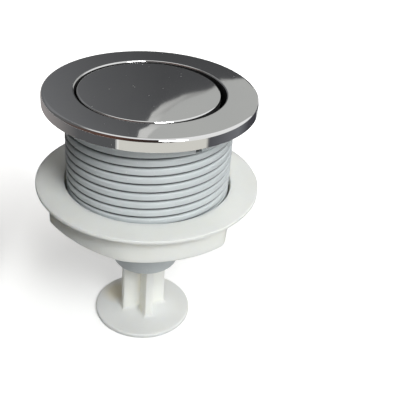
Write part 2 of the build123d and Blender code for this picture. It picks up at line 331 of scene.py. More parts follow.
def height_on(tree, place):
    """The height of a place."""
    parts = tree.nodes.new("ShaderNodeSeparateXYZ")
    tree.links.new(place, parts.inputs[0])
    return parts.outputs["Z"]


def new_material(name):
    """A material and its node tree."""
    material = bpy.data.materials.new(name)
    material.use_nodes = True
    return material, material.node_tree


def shader_of(tree):
    """The Principled shader of a node tree."""
    return tree.nodes["Principled BSDF"]


def moulded_skin():
    """What every moulding shows: a cloudy tone, a fine satin grain and a little dust."""
    group, inlet, outlet = node_group(
        "moulded skin",
        [("Color", "NodeSocketColor", (0.5, 0.5, 0.5, 1)),
         ("Cloud Color", "NodeSocketColor", (0.4, 0.4, 0.4, 1)),
         ("Smooth", "NodeSocketFloat", 0.3),
         ("Rough", "NodeSocketFloat", 0.5)],
        [("Color", "NodeSocketColor"), ("Roughness", "NodeSocketFloat"), ("Height", "NodeSocketFloat")],
    )
    place = object_place(group)
    cloud = noise(group, place, scale=90, detail=4, roughness=0.6)
    grain = noise(group, place, scale=5200, detail=3, roughness=0.6)
    speck = noise(group, place, scale=1500, detail=1, roughness=0.4)
    cloudy = remapped(group, cloud, 0.38, 0.72, 0, 1)
    dusty = remapped(group, speck, 0.735, 0.76, 0, 0.5)
    dust_color = (0.86, 0.86, 0.84, 1)
    tone = blended(group, cloudy, inlet.outputs["Color"], inlet.outputs["Cloud Color"])
    satin = remapped(group, cloud, 0.3, 0.7, inlet.outputs["Smooth"], inlet.outputs["Rough"])
    group.links.new(blended(group, dusty, tone, dust_color), outlet.inputs["Color"])
    group.links.new(satin, outlet.inputs["Roughness"])
    group.links.new(grain, outlet.inputs["Height"])
    return group


def plastic(name, color, cloud_color, smooth, rough, grain_depth, shine):
    """A moulded plastic with the shared skin."""
    material, tree = new_material(name)
    shader = shader_of(tree)
    shader.inputs["Specular IOR Level"].default_value = shine
    skin = tree.nodes.new("ShaderNodeGroup")
    skin.node_tree = skin_group
    skin.inputs["Color"].default_value = color
    skin.inputs["Cloud Color"].default_value = cloud_color
    skin.inputs["Smooth"].default_value = smooth
    skin.inputs["Rough"].default_value = rough
    bump = tree.nodes.new("ShaderNodeBump")
    bump.inputs["Strength"].default_value = 0.5
    bump.inputs["Distance"].default_value = grain_depth * mm
    tree.links.new(skin.outputs["Color"], shader.inputs["Base Color"])
    tree.links.new(skin.outputs["Roughness"], shader.inputs["Roughness"])
    tree.links.new(skin.outputs["Height"], bump.inputs["Height"])
    tree.links.new(bump.outputs["Normal"], shader.inputs["Normal"])
    return material


def tint(material, share, color):
    """Lays a tint over the colour of a material where a mask asks for it."""
    tree = material.node_tree
    target = shader_of(tree).inputs["Base Color"]
    tree.links.new(blended(tree, share, target.links[0].from_socket, color), target)


skin_group = moulded_skin()
grey_plastic = plastic("blue grey plastic", (0.54, 0.575, 0.595, 1), (0.515, 0.548, 0.568, 1),
                       smooth=0.36, rough=0.46, grain_depth=0.02, shine=0.42)
barrel_plastic = plastic("blue grey plastic with painted shade in the thread root", (0.6, 0.64, 0.663, 1),
                         (0.572, 0.608, 0.63, 1), smooth=0.36, rough=0.46, grain_depth=0.02, shine=0.42)

# Painted shade: grooves and windows are darkened from the root to near the crest, where shade falls; bore and
# floor keep the plain colour
groove_shade_color = (0.05, 0.053, 0.058, 1)
groove_shade_share = 0.92
groove_start = 28.2 * mm
groove_end = 28.85 * mm
bore_start = 26.65 * mm
bore_end = 26.75 * mm
barrel_tree = barrel_plastic.node_tree
barrel_place = object_place(barrel_tree)
outwards = vector_math(barrel_tree, "MULTIPLY", barrel_place, (1, 1, 0))["Vector"]
from_axis = vector_math(barrel_tree, "LENGTH", outwards)["Value"]
painted_groove_shade = remapped(barrel_tree, from_axis, groove_start, groove_end, groove_shade_share, 0)
painted_groove_shade = remapped(barrel_tree, from_axis, bore_start, bore_end, 0, painted_groove_shade)
painted_groove_shade = remapped(barrel_tree, height_on(barrel_tree, barrel_place), floor_top * mm, (floor_top + 1) * mm,
                     0, painted_groove_shade)
tint(barrel_plastic, painted_groove_shade, groove_shade_color)

barrel = bmesh.new()
turned(barrel, [(barrel_bore, flange_top, 0.2), (flange_radius, flange_top, 0.3), (flange_radius, 0, 0.3),
                (band_radius, 0, 0.2), (band_radius, band_bottom, 0.2), (tube_radius, band_bottom, 0),
                (tube_radius, barrel_bottom, 0.3), (boss_radius, barrel_bottom, 0.2),
                (boss_radius, boss_bottom, 0.3), (floor_hole, boss_bottom, 0.2), (floor_hole, floor_top, 0.2),
                (barrel_bore, floor_top, 0.3)])
for k in range(window_count):
    cut_window(barrel, radians(window_angle + 360 / window_count * k), window_width, window_low, window_high,
               inner=barrel_bore, outer=band_radius)
ridges = thread_outline(root_radius, crest_radius, base=thread_pitch - root_width, tip=crest_width,
                        bow=crest_bow, rounding=crest_rounding)
screwed(barrel, ridges, first=first_crest - thread_pitch / 2, low=thread_foot, high=thread_head,
        hidden_radius=thread_back, taper=lead_in_limit)
for seam in seam_angles:
    block(barrel, (seam_inner, -seam_half, seam_foot), (seam_outer, seam_half, thread_head), radians(seam))
for k in range(gusset_count):
    prism(barrel, gusset_outline, gusset_width, 2 * pi * k / gusset_count)
piece("barrel_moulding", barrel, barrel_plastic, "housing", "threaded_barrel")

# Guide tube
# A tube of the same grey plastic that lies on the barrel's floor and reaches down through it.
# Its lower end is closed but for a cross-shaped hole, in which the push rod slides without turning.
guide_radius = 12.35
guide_bore = 10.2
guide_top = -19.9
guide_bottom = -65.0
guide_end = 8.0
guide_flange = 16.95
spring_seat = -41.5
hole_span = 18.1
hole_rib = 4.3
plate_radius = guide_bore + 0.4
plate_steps = 96
cross_angle = radians(-72.2)


def cross_face(bm, span, rib, height, angle):
    """A flat cross of two ribs, as one face."""
    a, b = span / 2, rib / 2
    arm = ((a, -b), (a, b), (b, b))
    corners = []
    for k in range(4):
        turn = Matrix.Rotation(angle + pi / 2 * k, 3, "Z")
        corners += [bm.verts.new(turn @ Vector((x * mm, y * mm, height * mm))) for x, y in arm]
    return bm.faces.new(corners)


guide = bmesh.new()
hole = cross_face(guide, hole_span, hole_rib, guide_bottom, cross_angle)
rim = bmesh.ops.create_circle(guide, radius=plate_radius * mm, segments=plate_steps,
                              matrix=Matrix.Translation((0, 0, guide_bottom * mm)))["verts"]
edges = list(hole.edges) + list({e for v in rim for e in v.link_edges})
bmesh.ops.delete(guide, geom=[hole], context="FACES_ONLY")
plate = bmesh.ops.triangle_fill(guide, use_beauty=True, use_dissolve=False, edges=edges)["geom"]
plate = [f for f in plate if isinstance(f, bmesh.types.BMFace)]
raised = bmesh.ops.extrude_face_region(guide, geom=plate, use_keep_orig=True)["geom"]
bmesh.ops.translate(guide, verts=verts_in(raised), vec=(0, 0, guide_end * mm))
bmesh.ops.recalc_face_normals(guide, faces=guide.faces)
turned(guide, [(guide_bore, guide_top, 0.2), (guide_radius, guide_top, 0.4),
               (guide_radius, spring_seat, 0.3), (guide_flange, spring_seat, 0.3),
               (guide_flange, floor_top, 0.2), (guide_radius, floor_top, 0.2),
               (guide_radius, guide_bottom, 0.5), (guide_bore, guide_bottom, 0)])
piece("guide_moulding", guide, grey_plastic, "guide", "guide_tube")

# Return spring
# A compression spring of drawn steel wire round the guide tube, with closed coils at both ends.
# It stands on the guide tube's flange and pushes the button carrier up.
spring_radius = 13.3
wire_radius = 0.65
spring_top = 0.3
wire_sides = 14
coil_steps = 40
dead_turns = 1.0
live_turns = 4.0
dead_rise = 2 * wire_radius * dead_turns
live_rise = spring_top - spring_seat - 2 * wire_radius - 2 * dead_rise

drawn_steel, steel_tree = new_material("drawn steel")
steel_shader = shader_of(steel_tree)
steel_shader.inputs["Metallic"].default_value = 1.0
steel_marks = noise(steel_tree, object_place(steel_tree), scale=2400, detail=4, roughness=0.65)
steel_tone = blended(steel_tree, remapped(steel_tree, steel_marks, 0.35, 0.7, 0, 1), (0.56, 0.56, 0.57, 1),
                     (0.44, 0.43, 0.42, 1))
steel_satin = remapped(steel_tree, steel_marks, 0.3, 0.7, 0.24, 0.42)
steel_tree.links.new(steel_tone, steel_shader.inputs["Base Color"])
steel_tree.links.new(steel_satin, steel_shader.inputs["Roughness"])

spring = bmesh.new()
lower_end = Matrix.Translation((spring_radius * mm, 0, (spring_seat + wire_radius) * mm))
ring = bmesh.ops.create_circle(spring, cap_ends=True, radius=wire_radius * mm, segments=wire_sides,
                               matrix=lower_end @ Matrix.Rotation(pi / 2, 4, "X"))["verts"]
front = joined(ring)
for turns, rise in ((dead_turns, dead_rise), (live_turns, live_rise), (dead_turns, dead_rise)):
    steps = round(coil_steps * turns)
    front = bmesh.ops.spin(spring, geom=front, cent=(0, 0, 0), axis=(0, 0, 1), angle=2 * pi * turns,
                           dvec=(0, 0, rise * mm / steps), steps=steps)["geom_last"]
bmesh.ops.recalc_face_normals(spring, faces=spring.faces)
coil = piece("spring_coil", spring, drawn_steel, "guide", "return_spring")
coil.modifiers.clear()
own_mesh(coil)

# Button carrier and rod screw
# The carrier is a disc and hub of grey plastic that snaps into the cap and takes the top of the push rod.
# A steel tapping screw, put in before the cap, holds the rod in the carrier's hub.
for node, finish in (("button_carrier", grey_plastic), ("rod_screw", drawn_steel)):
    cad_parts[node].data.materials.clear()
    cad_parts[node].data.materials.append(finish)

# Push rod
# A cross-ribbed rod of natural polypropylene with a round foot that presses the flush valve's release.
# Rod and foot are one moulding; the milky plastic lets some light through. A painted warm glow on one inner
# corner of the cross and a painted warm shadow of the rod on the foot stand for that light.
rod_span = 16.9
rod_rib = 3.1
rod_edge = 0.35
rod_shoulder = -21.1
foot_radius = 18.8
foot_bottom = -91.4
foot_top = -89.6
foot_edge = 0.5
foot_brim = foot_radius - 1
root_fillet = 1.4
fillet_steps = 6
spigot_radius = 4.9
spigot_top = -2.1
spigot_bottom = -29.1
spigot_steps = 48
button_offset = -0.5
rib_side = cross_angle - pi / 2
# Painted light: a pale warm glow on one side of a rib and the corner beside it, standing for light through
# the milky plastic
corner_light_tint = (0.97, 0.945, 0.87, 1)
corner_light_share = 0.75
corner_light_start = (1.63 * mm, 1.98 * mm)
corner_light_end = (2.28 * mm, 3.88 * mm)
# Painted shadow: a warm dark spot on the foot where the rod's shadow falls
rod_shadow_tint = (0.86, 0.76, 0.57, 1)
rod_shadow_share = 0.8
rod_shadow_middle = (-10.5 * mm, 7.0 * mm, foot_top * mm)
rod_shadow_reach = (3 * mm, 8 * mm)


def milky(name, color, cloud_color):
    """Natural polypropylene: pale and satin, with light that travels some way inside it."""
    material = plastic(name, color, cloud_color, smooth=0.52, rough=0.62, grain_depth=0.015, shine=0.14)
    shader = shader_of(material.node_tree)
    shader.inputs["Subsurface Weight"].default_value = 0.85
    shader.inputs["Subsurface Radius"].default_value = (1.0, 0.97, 0.88)
    shader.inputs["Subsurface Scale"].default_value = 4.8 * mm
    return material


rod_plastic = milky("natural polypropylene of the rod", (0.86, 0.87, 0.838, 1), (0.838, 0.847, 0.815, 1))
rod_tree = rod_plastic.node_tree
rod_place = object_place(rod_tree)
along_rib = vector_math(rod_tree, "DOT_PRODUCT", rod_place, (cos(rib_side), sin(rib_side), 0))["Value"]
from_rod_shadow = vector_math(rod_tree, "DISTANCE", rod_place, rod_shadow_middle)["Value"]
# Painted light: the warm glow on the rib's side, faded out towards the foot
painted_corner_light = remapped(rod_tree, along_rib, *corner_light_end, corner_light_share, 0)
painted_corner_light = remapped(rod_tree, along_rib, *corner_light_start, 0, painted_corner_light)
painted_corner_light = remapped(rod_tree, height_on(rod_tree, rod_place), foot_top * mm, (foot_top + root_fillet) * mm,
                     0, painted_corner_light)
# Painted shadow: the rod's warm shadow on the foot, round a point beside the left rib
painted_rod_shadow = remapped(rod_tree, from_rod_shadow, *rod_shadow_reach, rod_shadow_share, 0)
tint(rod_plastic, painted_corner_light, corner_light_tint)
tint(rod_plastic, painted_rod_shadow, rod_shadow_tint)

rod = bmesh.new()
verts, edges = outlined(rod, [(0, foot_bottom, 0), (foot_radius, foot_bottom, foot_edge),
                              (foot_radius, foot_top, foot_edge), (foot_brim, foot_top, 0)], closed=False)
bmesh.ops.spin(rod, geom=verts + edges, cent=(0, 0, 0), axis=(0, 0, 1), angle=2 * pi, steps=steps_per_turn,
               use_merge=True)
bmesh.ops.remove_doubles(rod, verts=rod.verts, dist=weld_gap)
stem = cross_face(rod, rod_span + 2 * root_fillet, rod_rib + 2 * root_fillet, foot_top, cross_angle)
stem.normal_update()
for k in range(fillet_steps):
    low = pi / 2 * k / fillet_steps
    high = pi / 2 * (k + 1) / fillet_steps
    bmesh.ops.inset_region(rod, faces=[stem], thickness=root_fillet * (sin(high) - sin(low)) * mm,
                           depth=root_fillet * (cos(low) - cos(high)) * mm, use_boundary=True,
                           use_even_offset=True)
brim = [e for e in rod.edges if e.is_boundary]
grown = bmesh.ops.extrude_face_region(rod, geom=[stem], use_keep_orig=True)["geom"]
bmesh.ops.delete(rod, geom=[stem], context="FACES_ONLY")
bmesh.ops.translate(rod, verts=verts_in(grown), vec=(0, 0, (rod_shoulder - foot_top - root_fillet) * mm))
long_edges = [e for e in rod.edges if abs(e.verts[0].co.z - e.verts[1].co.z) > rod_span * mm]
bmesh.ops.bevel(rod, geom=long_edges, offset=rod_edge * mm, offset_type="OFFSET", affect="EDGES", segments=3,
                profile=0.5, material=-1, clamp_overlap=True)
bmesh.ops.triangle_fill(rod, use_beauty=True, use_dissolve=False, edges=brim)
bmesh.ops.recalc_face_normals(rod, faces=rod.faces)
turned(rod, [(0, spigot_bottom, 0), (spigot_radius, spigot_bottom, 0), (spigot_radius, spigot_top, 0.5),
             (0, spigot_top, 0)], steps=spigot_steps)
bmesh.ops.translate(rod, verts=rod.verts, vec=(button_offset * mm, 0, 0))
piece("rod_moulding", rod, rod_plastic, "button", "push_rod")

# Button cap
# A shallow cup of plated plastic, the button itself, polished to a mirror.
# Its lower flange stops under the bezel's skirt, so the spring can't push it out.
cap_radius = 24.25
cap_top = 4.1
cap_ceiling = 2.5
cap_bore = 22.5
cap_flange = 25.95
cap_flange_top = -7.1
cap_bottom = -8.5
cap_offset = -0.6
cap_steps = 192
cap_bright_above = 3.0

plated_chrome, chrome_tree = new_material("polished chrome plating")
chrome_shader = shader_of(chrome_tree)
chrome_shader.inputs["Metallic"].default_value = 1.0
chrome_place = object_place(chrome_tree)
haze = noise(chrome_tree, chrome_place, scale=60, detail=3)
dust = noise(chrome_tree, chrome_place, scale=900, detail=2, roughness=0.4)
ripple = noise(chrome_tree, chrome_place, scale=45, detail=2)
hazy = remapped(chrome_tree, haze, 0.35, 0.7, 0, 1)
dusty = remapped(chrome_tree, dust, 0.762, 0.778, 0, 1)
chrome_tone = blended(chrome_tree, hazy, (0.8, 0.8, 0.8, 1), (0.775, 0.778, 0.785, 1))
chrome_tone = blended(chrome_tree, dusty, chrome_tone, (0.88, 0.88, 0.86, 1))
chrome_polish = remapped(chrome_tree, dusty, 0, 1, 0.035, 0.4)
chrome_bump = chrome_tree.nodes.new("ShaderNodeBump")
chrome_bump.inputs["Strength"].default_value = 0.15
chrome_bump.inputs["Distance"].default_value = 0.06 * mm
chrome_tree.links.new(chrome_tone, chrome_shader.inputs["Base Color"])
chrome_tree.links.new(chrome_polish, chrome_shader.inputs["Roughness"])
chrome_tree.links.new(ripple, chrome_bump.inputs["Height"])
chrome_tree.links.new(chrome_bump.outputs["Normal"], chrome_shader.inputs["Normal"])

# Painted shade: a near-black, dull plating for the faces down in the gap between button and bezel, where
# shade falls
painted_gap_shade, gap_shade_tree = new_material("dull plating with painted shade in the gap")
gap_shade_shader = shader_of(gap_shade_tree)
gap_shade_shader.inputs["Metallic"].default_value = 0.6
gap_shade_cloud = noise(gap_shade_tree, object_place(gap_shade_tree), scale=300, detail=4, roughness=0.6)
gap_shade_tone = blended(gap_shade_tree, gap_shade_cloud, (0.07, 0.07, 0.072, 1), (0.03, 0.03, 0.032, 1))
gap_shade_tree.links.new(gap_shade_tone, gap_shade_shader.inputs["Base Color"])
gap_shade_tree.links.new(remapped(gap_shade_tree, gap_shade_cloud, 0.3, 0.7, 0.4, 0.6), gap_shade_shader.inputs["Roughness"])

cap = bmesh.new()
turned(cap, [(0, cap_top, 0), (cap_radius, cap_top, 0.6), (cap_radius, cap_flange_top, 0.2),
             (cap_flange, cap_flange_top, 0.3), (cap_flange, cap_bottom, 0.3), (cap_bore, cap_bottom, 0.3),
             (cap_bore, cap_ceiling, 0.3), (0, cap_ceiling, 0)], steps=cap_steps)
# Painted shade: the cap's side below its top edge takes the dark plating of the gap
for f in cap.faces:
    f.material_index = 1 if f.calc_center_median().z < cap_bright_above * mm else 0
bmesh.ops.translate(cap, verts=cap.verts, vec=(cap_offset * mm, 0, 0))
cap_piece = piece("cap_plated", cap, plated_chrome, "button", "button_cap")
cap_piece.data.materials.append(painted_gap_shade)

# Bezel
# A flat ring of plated plastic with a turned-down rim, polished like the button.
# Four small lugs on its skirt snap into the windows of the barrel.
bezel_radius = 36.5
bezel_top = 4.4
bezel_bore = 25.6
rim_bore = 34.9
skirt_radius = 26.5
skirt_bottom = -7.0
lug_width = 1.9
lug_outline = ((26.05, -2.5), (28.4, -2.5), (26.05, -4.8))
bezel_steps = 240
bezel_bright_above = 3.85
bezel_bright_beyond = 34

bezel = bmesh.new()
turned(bezel, [(bezel_bore, bezel_top, 0.5), (bezel_radius, bezel_top, 1.2), (bezel_radius, 0, 0.25),
               (rim_bore, 0, 0.2), (rim_bore, flange_top, 0.3), (skirt_radius, flange_top, 0.2),
               (skirt_radius, skirt_bottom, 0.3), (bezel_bore, skirt_bottom, 0.3)], steps=bezel_steps)
for k in range(window_count):
    prism(bezel, lug_outline, lug_width, radians(window_angle + 360 / window_count * k))
# Painted shade: the bezel's bore, skirt and lugs below its top, inside the rim, take the dark plating of the
# gap
for f in bezel.faces:
    c = f.calc_center_median()
    hidden = hypot(c.x, c.y) < bezel_bright_beyond * mm and c.z < bezel_bright_above * mm
    f.material_index = 1 if hidden else 0
bezel_piece = piece("bezel_plated", bezel, plated_chrome, "housing", "bezel")
bezel_piece.data.materials.append(painted_gap_shade)

# Lock nut
# A large nut of natural polypropylene, screwed up under the cistern lid: a round flange on a six-sided grip.
# Two sides of the grip are flat for a spanner and four are bowed; pockets from below keep its walls even.
nut_top = -29.8
nut_bottom = -41.3
nut_flange = 39.9
flange_thickness = 1.3
flange_slope = 1.1
flange_edge = 0.25
flange_rim = nut_flange - flange_edge
nut_mouth = 29.9
nut_root = 29.35
nut_collar = 31.35
nut_core = 33.4
nut_web = -33.0
nut_corner = 36.8
grip_edge = 0.6
front_corner = radians(-103)
long_turn = radians(60)
short_turn = radians(55)
long_reach = 36.0
short_reach = 35.2
flat_reach = nut_corner * cos((pi - long_turn - short_turn) / 2)
corner_sharpness = 2.2
nut_steps = 360
spanner_way = Vector((cos(front_corner + pi / 2), sin(front_corner + pi / 2), 0))
pocket_half = 23.5
rib_drop = 1.2
rib_spacing = 30
rib_half = 1.4
female_tip = 28.25
female_root = nut_root + 0.02
female_base = 0.86
female_flat = 0.14
female_rounding = 0.04

nut_plastic = milky("natural polypropylene of the nut", (0.83, 0.843, 0.81, 1), (0.805, 0.817, 0.783, 1))


def bowed_side(angle, middle, half_turn, reach):
    """Distance to a bowed side, a wide arc through its two corners and its middle."""
    chord = nut_corner * cos(half_turn)
    centre = (reach ** 2 - nut_corner ** 2) / (2 * (reach - chord))
    radius = reach - centre
    return centre * cos(angle - middle) + sqrt(radius ** 2 - (centre * sin(angle - middle)) ** 2)


def grip_reach(angle, inset=0.0):
    """Distance from the axis to the nut's grip: two pairs of bowed sides, two flats, soft corners."""
    sides = []
    for turn in (0, pi):
        sides.append(bowed_side(angle, front_corner + turn + long_turn / 2, long_turn / 2, long_reach))
        sides.append(bowed_side(angle, front_corner + turn - short_turn / 2, short_turn / 2, short_reach))
        lean = cos(angle - front_corner - turn - (pi + long_turn - short_turn) / 2)
        sides.append(flat_reach / lean if lean > 0.3 else 2 * nut_corner)
    nearest = min(sides)
    softened = sum(exp(corner_sharpness * (nearest - side)) for side in sides)
    return nearest - log(softened) / corner_sharpness - inset


def shaped(loop, reach, height):
    """Moves a loop round the nut to a reach and a height, which are numbers or follow the angle."""
    for v in loop:
        angle = atan2(v.co.y, v.co.x)
        r = reach(angle) if callable(reach) else reach
        z = height(r) if callable(height) else height
        v.co = (r * cos(angle) * mm, r * sin(angle) * mm, z * mm)


def flange_under(r):
    """Height of the flange's sloping underside."""
    return nut_top - flange_thickness - (nut_flange - r) * flange_slope / (nut_flange - nut_collar)


def core_faces(depth):
    """Faces between collar and core wall at a depth inside the nut."""
    found = []
    for f in nut.faces:
        c = f.calc_center_median()
        level = abs(f.normal.z) > 0.9 and abs(c.z / mm - depth) < 0.01
        between_flats = abs(c.dot(spanner_way)) / mm < pocket_half
        if level and between_flats and nut_collar < hypot(c.x, c.y) / mm < nut_core:
            found.append(f)
    return found


def sunk(faces, depth):
    """Pushes faces of the nut up into it."""
    moved = bmesh.ops.extrude_face_region(nut, geom=faces)["geom"]
    bmesh.ops.delete(nut, geom=faces, context="FACES_ONLY")
    bmesh.ops.translate(nut, verts=verts_in(moved), vec=(0, 0, depth * mm))


# The loops run from the bore out under the grip, up to the flange, round its edge and in to the mouth
quarter = [pi / 2 * k / 4 for k in range(5)]
levels = [(nut_root, nut_bottom + 0.4),
          (nut_root + 0.4, nut_bottom),
          (lambda a: min(nut_collar, grip_reach(a, 1.0)), nut_bottom),
          (lambda a: min(nut_core, grip_reach(a, 0.75)), nut_bottom)]
for turn in quarter:
    levels.append((lambda a, t=turn: grip_reach(a, grip_edge * (1 - sin(t))),
                   nut_bottom + grip_edge * (1 - cos(turn))))
levels += [(grip_reach, lambda r: flange_under(r) - 0.5),
           (lambda a: grip_reach(a, -0.15), lambda r: flange_under(r) - 0.15),
           (lambda a: grip_reach(a, -0.5), flange_under)]
for turn in quarter:
    levels.append((flange_rim + flange_edge * sin(turn),
                   nut_top - flange_thickness + flange_edge * (1 - cos(turn))))
for turn in quarter:
    levels.append((flange_rim + flange_edge * cos(turn), nut_top - flange_edge * (1 - sin(turn))))
levels += [(nut_mouth + 0.3, nut_top),
           (nut_mouth + 0.08, nut_top - 0.09),
           (nut_mouth, nut_top - 0.3),
           (nut_mouth, nut_top - 3),
           (nut_root, nut_top - 3.4)]

nut = bmesh.new()
shaped(bmesh.ops.create_circle(nut, radius=1, segments=nut_steps)["verts"], *levels[0])
rim = list(nut.edges)
for reach, height in levels[1:] + levels[:1]:
    grown = bmesh.ops.extrude_edge_only(nut, edges=rim)["geom"]
    shaped(verts_in(grown), reach, height)
    rim = open_edges_in(grown)
bmesh.ops.remove_doubles(nut, verts=nut.verts, dist=weld_gap)
bmesh.ops.recalc_face_normals(nut, faces=nut.faces)
sunk(core_faces(nut_bottom), rib_drop)
pockets = []
for f in core_faces(nut_bottom + rib_drop):
    c = f.calc_center_median()
    from_rib = degrees(atan2(c.y, c.x) - front_corner) % rib_spacing
    if rib_half < from_rib < rib_spacing - rib_half:
        pockets.append(f)
sunk(pockets, nut_web - nut_bottom - rib_drop)
female_ridges = thread_outline(female_root, female_tip, base=female_base, tip=female_flat, bow=0,
                               rounding=female_rounding)
screwed(nut, female_ridges, first=first_crest, low=nut_bottom + 0.5, high=nut_top - 3.5,
        hidden_radius=nut_root + 0.6)
piece("nut_moulding", nut, nut_plastic, "nut", "lock_nut")

# Floor and studio light
# A plain white floor under the foot, one large soft lamp to the front and right, and a pale surround.
# The room round the set is seen in the chrome alone: a dark wall and a grey one behind, and a bright ceiling.
# A weaker lamp lights the part from behind, and a black cloth, unseen by the camera, shades its left side.
floor_height = foot_bottom * mm
floor_radius = 8
board_distance = 6.0
board_foot = -5
board_head = 46
board_side = 65
dark_rows = 12
room_radius = 12
ring_radius = 3
ring_hole = 0.02

board_glow, board_tree = new_material("studio boards")
board_tree.nodes.clear()
board_tone = board_tree.nodes.new("ShaderNodeAttribute")
board_tone.attribute_name = "tone"
board_light = board_tree.nodes.new("ShaderNodeEmission")
board_end = board_tree.nodes.new("ShaderNodeOutputMaterial")
board_tree.links.new(board_tone.outputs["Color"], board_light.inputs["Color"])
board_tree.links.new(board_light.outputs[0], board_end.inputs["Surface"])


def metal_only(name, bm, tone):
    """Makes a board that only glossy rays see; tone gives the colour at a place on it."""
    layer = bm.verts.layers.float_color.new("tone")
    for v in bm.verts:
        v[layer] = (*tone(v.co), 1)
    board = object_from(name, bm, board_glow)
    board.visible_camera = False
    board.visible_diffuse = False
    board.visible_shadow = False
    board.visible_transmission = False


def between(stops, value):
    """Reads a list of (place, tone) stops at a value, straight from one stop to the next."""
    for (low, first), (high, second) in zip(stops, stops[1:]):
        if value <= high:
            share = max(0, (value - low) / (high - low))
            return tuple(p + (q - p) * share for p, q in zip(first, second))
    return stops[-1][1]


def far_point(azimuth, elevation, distance):
    """A place in the direction that the flat chrome mirrors, azimuth from +Y towards +X."""
    x = distance * tan(radians(azimuth))
    return (x, distance, bezel_top * mm + hypot(x, distance) * tan(radians(elevation)))


def rise_of(place):
    """Elevation of a place, in degrees."""
    return degrees(atan2(place.z, hypot(place.x, place.y)))


def side_of(place):
    """Direction of a place round the set, in degrees from the front, positive to the right."""
    return degrees(atan2(place.x, -place.y))


def dark_tone(place):
    """Dark wall behind the set: deep behind the middle and paler to the left and upwards."""
    side = degrees(atan2(place.x, place.y))
    level = between([(-60, (0.2,)), (-12, (0.19,)), (-5, (0.125,)), (1, (0.09,)), (18, (0.088,))], side)[0]
    level *= between([(18, (0.78,)), (22, (0.86,)), (26, (1.0,)), (30, (1.12,)), (46, (1.12,))],
                     rise_of(place))[0]
    return level, level * 1.015, level * 1.05


# Upper edge of the dark wall, as azimuth and elevation in degrees: high on the left, lower on the right
dark_edge = [(side, board_head) for side in (-60, -45, -30, -20, -14, -10, -7, -5, -3.5, -2.4)]
dark_edge += [(-1.7, 32), (-1.0, 27.5), (-0.72, 27.2), (-0.2, 26.7), (0.17, 25.9), (0.55, 25.6), (1.0, 25.1),
              (1.43, 24.83), (2.0, 24.55), (2.6, 24.25), (2.95, 24.0), (3.94, 23.68), (5.2, 23.34),
              (5.73, 23.05), (6.31, 22.5), (7.46, 22.16), (7.97, 21.85), (10, 20.9), (14, 18), (18, 12)]
last_column = len(dark_edge) - 1
dark_wall = bmesh.new()
bmesh.ops.create_grid(dark_wall, x_segments=last_column, y_segments=dark_rows, size=1)
for v in dark_wall.verts:
    side, top = dark_edge[round((v.co.x + 1) / 2 * last_column)]
    v.co = far_point(side, board_foot + (top - board_foot) * (v.co.y + 1) / 2, board_distance)
metal_only("dark_wall", dark_wall, dark_tone)

strip_near = [(-2.4, 33), (-1.2, 27.0), (0, 25.6), (1.2, 24.5), (2.6, 23.8), (3.9, 23.2), (5.35, 22.6),
              (7.4, 21.5)]
strip_far = [(7.5, 22.05), (5.75, 23.15), (5.1, 23.6), (3.9, 24.1), (2.9, 24.6), (2.0, 25.35), (1.1, 26.3),
             (0.35, 27.4), (-0.2, 28.6), (-1.2, 34)]
strip_low = (0.36, 0.36, 0.35)
strip_high = (0.67, 0.67, 0.65)
strip_tones = [(0, strip_low), (25.5, strip_low), (27, strip_high), (90, strip_high)]
pale_strip = bmesh.new()
pale_strip.faces.new([pale_strip.verts.new(far_point(side, rise, board_distance + 0.3))
                      for side, rise in strip_near + strip_far])
metal_only("pale_strip", pale_strip, lambda place: between(strip_tones, rise_of(place)))

grey_wall = bmesh.new()
grey_wall.faces.new([grey_wall.verts.new(far_point(side, rise, board_distance + 0.6))
                     for side, rise in ((-board_side, board_foot), (board_side, board_foot),
                                        (board_side, board_head), (-board_side, board_head))])
metal_only("grey_wall", grey_wall, lambda place: (0.485, 0.49, 0.475))

ceiling_tone = (0.95, 0.95, 0.95)
wall_tones = [(-180, (0.13, 0.13, 0.13)), (-100, (0.13, 0.13, 0.13)), (-80, (0.11, 0.08, 0.07)),
              (-45, (0.12, 0.06, 0.045)), (-15, (0.05, 0.03, 0.025)), (20, (0.035, 0.03, 0.028)),
              (27, (0.9, 0.9, 0.88)), (115, (0.95, 0.95, 0.95)), (180, (0.8, 0.8, 0.8))]
wall_tops = [(-180, (50,)), (-115, (54,)), (-75, (73,)), (20, (76,)), (27, (50,)), (180, (50,))]


def room_tone(place):
    """The rest of the room: a bright ceiling and right side, and a dark brown side behind the camera."""
    wall = between(wall_tones, side_of(place))
    top = between(wall_tops, side_of(place))[0]
    return between([(0, wall), (top, wall), (top + 6, ceiling_tone), (90, ceiling_tone)], rise_of(place))


room = bmesh.new()
bmesh.ops.create_uvsphere(room, u_segments=180, v_segments=90, radius=room_radius)
bmesh.ops.delete(room, geom=[v for v in room.verts if v.co.z < -0.5], context="VERTS")
metal_only("room", room, room_tone)

# What the bezel's rim mirrors of the floor, by direction round the set
floor_tones = [(-180, (0.33, 0.305, 0.3)), (-129, (0.33, 0.305, 0.3)), (-98, (0.25, 0.235, 0.23)),
               (-70, (0.11, 0.11, 0.113)), (-31, (0.1, 0.102, 0.105)), (-29, (0.95, 0.95, 0.93)),
               (-27, (0.74, 0.728, 0.67)), (56, (0.74, 0.728, 0.67)), (59, (0.1, 0.1, 0.11)),
               (98, (0.19, 0.195, 0.21)), (118, (0.07, 0.07, 0.08)), (142, (0.05, 0.05, 0.06)),
               (146, (0.9, 0.9, 0.9)), (150, (0.9, 0.9, 0.9)), (154, (0.05, 0.05, 0.06)),
               (180, (0.27, 0.25, 0.245))]
floor_ring = bmesh.new()
bmesh.ops.create_circle(floor_ring, radius=ring_radius, segments=240,
                        matrix=Matrix.Translation((0, 0, floor_height + 1 * mm)))
inner_ring = bmesh.ops.extrude_edge_only(floor_ring, edges=floor_ring.edges)["geom"]
for v in verts_in(inner_ring):
    v.co.xy *= ring_hole
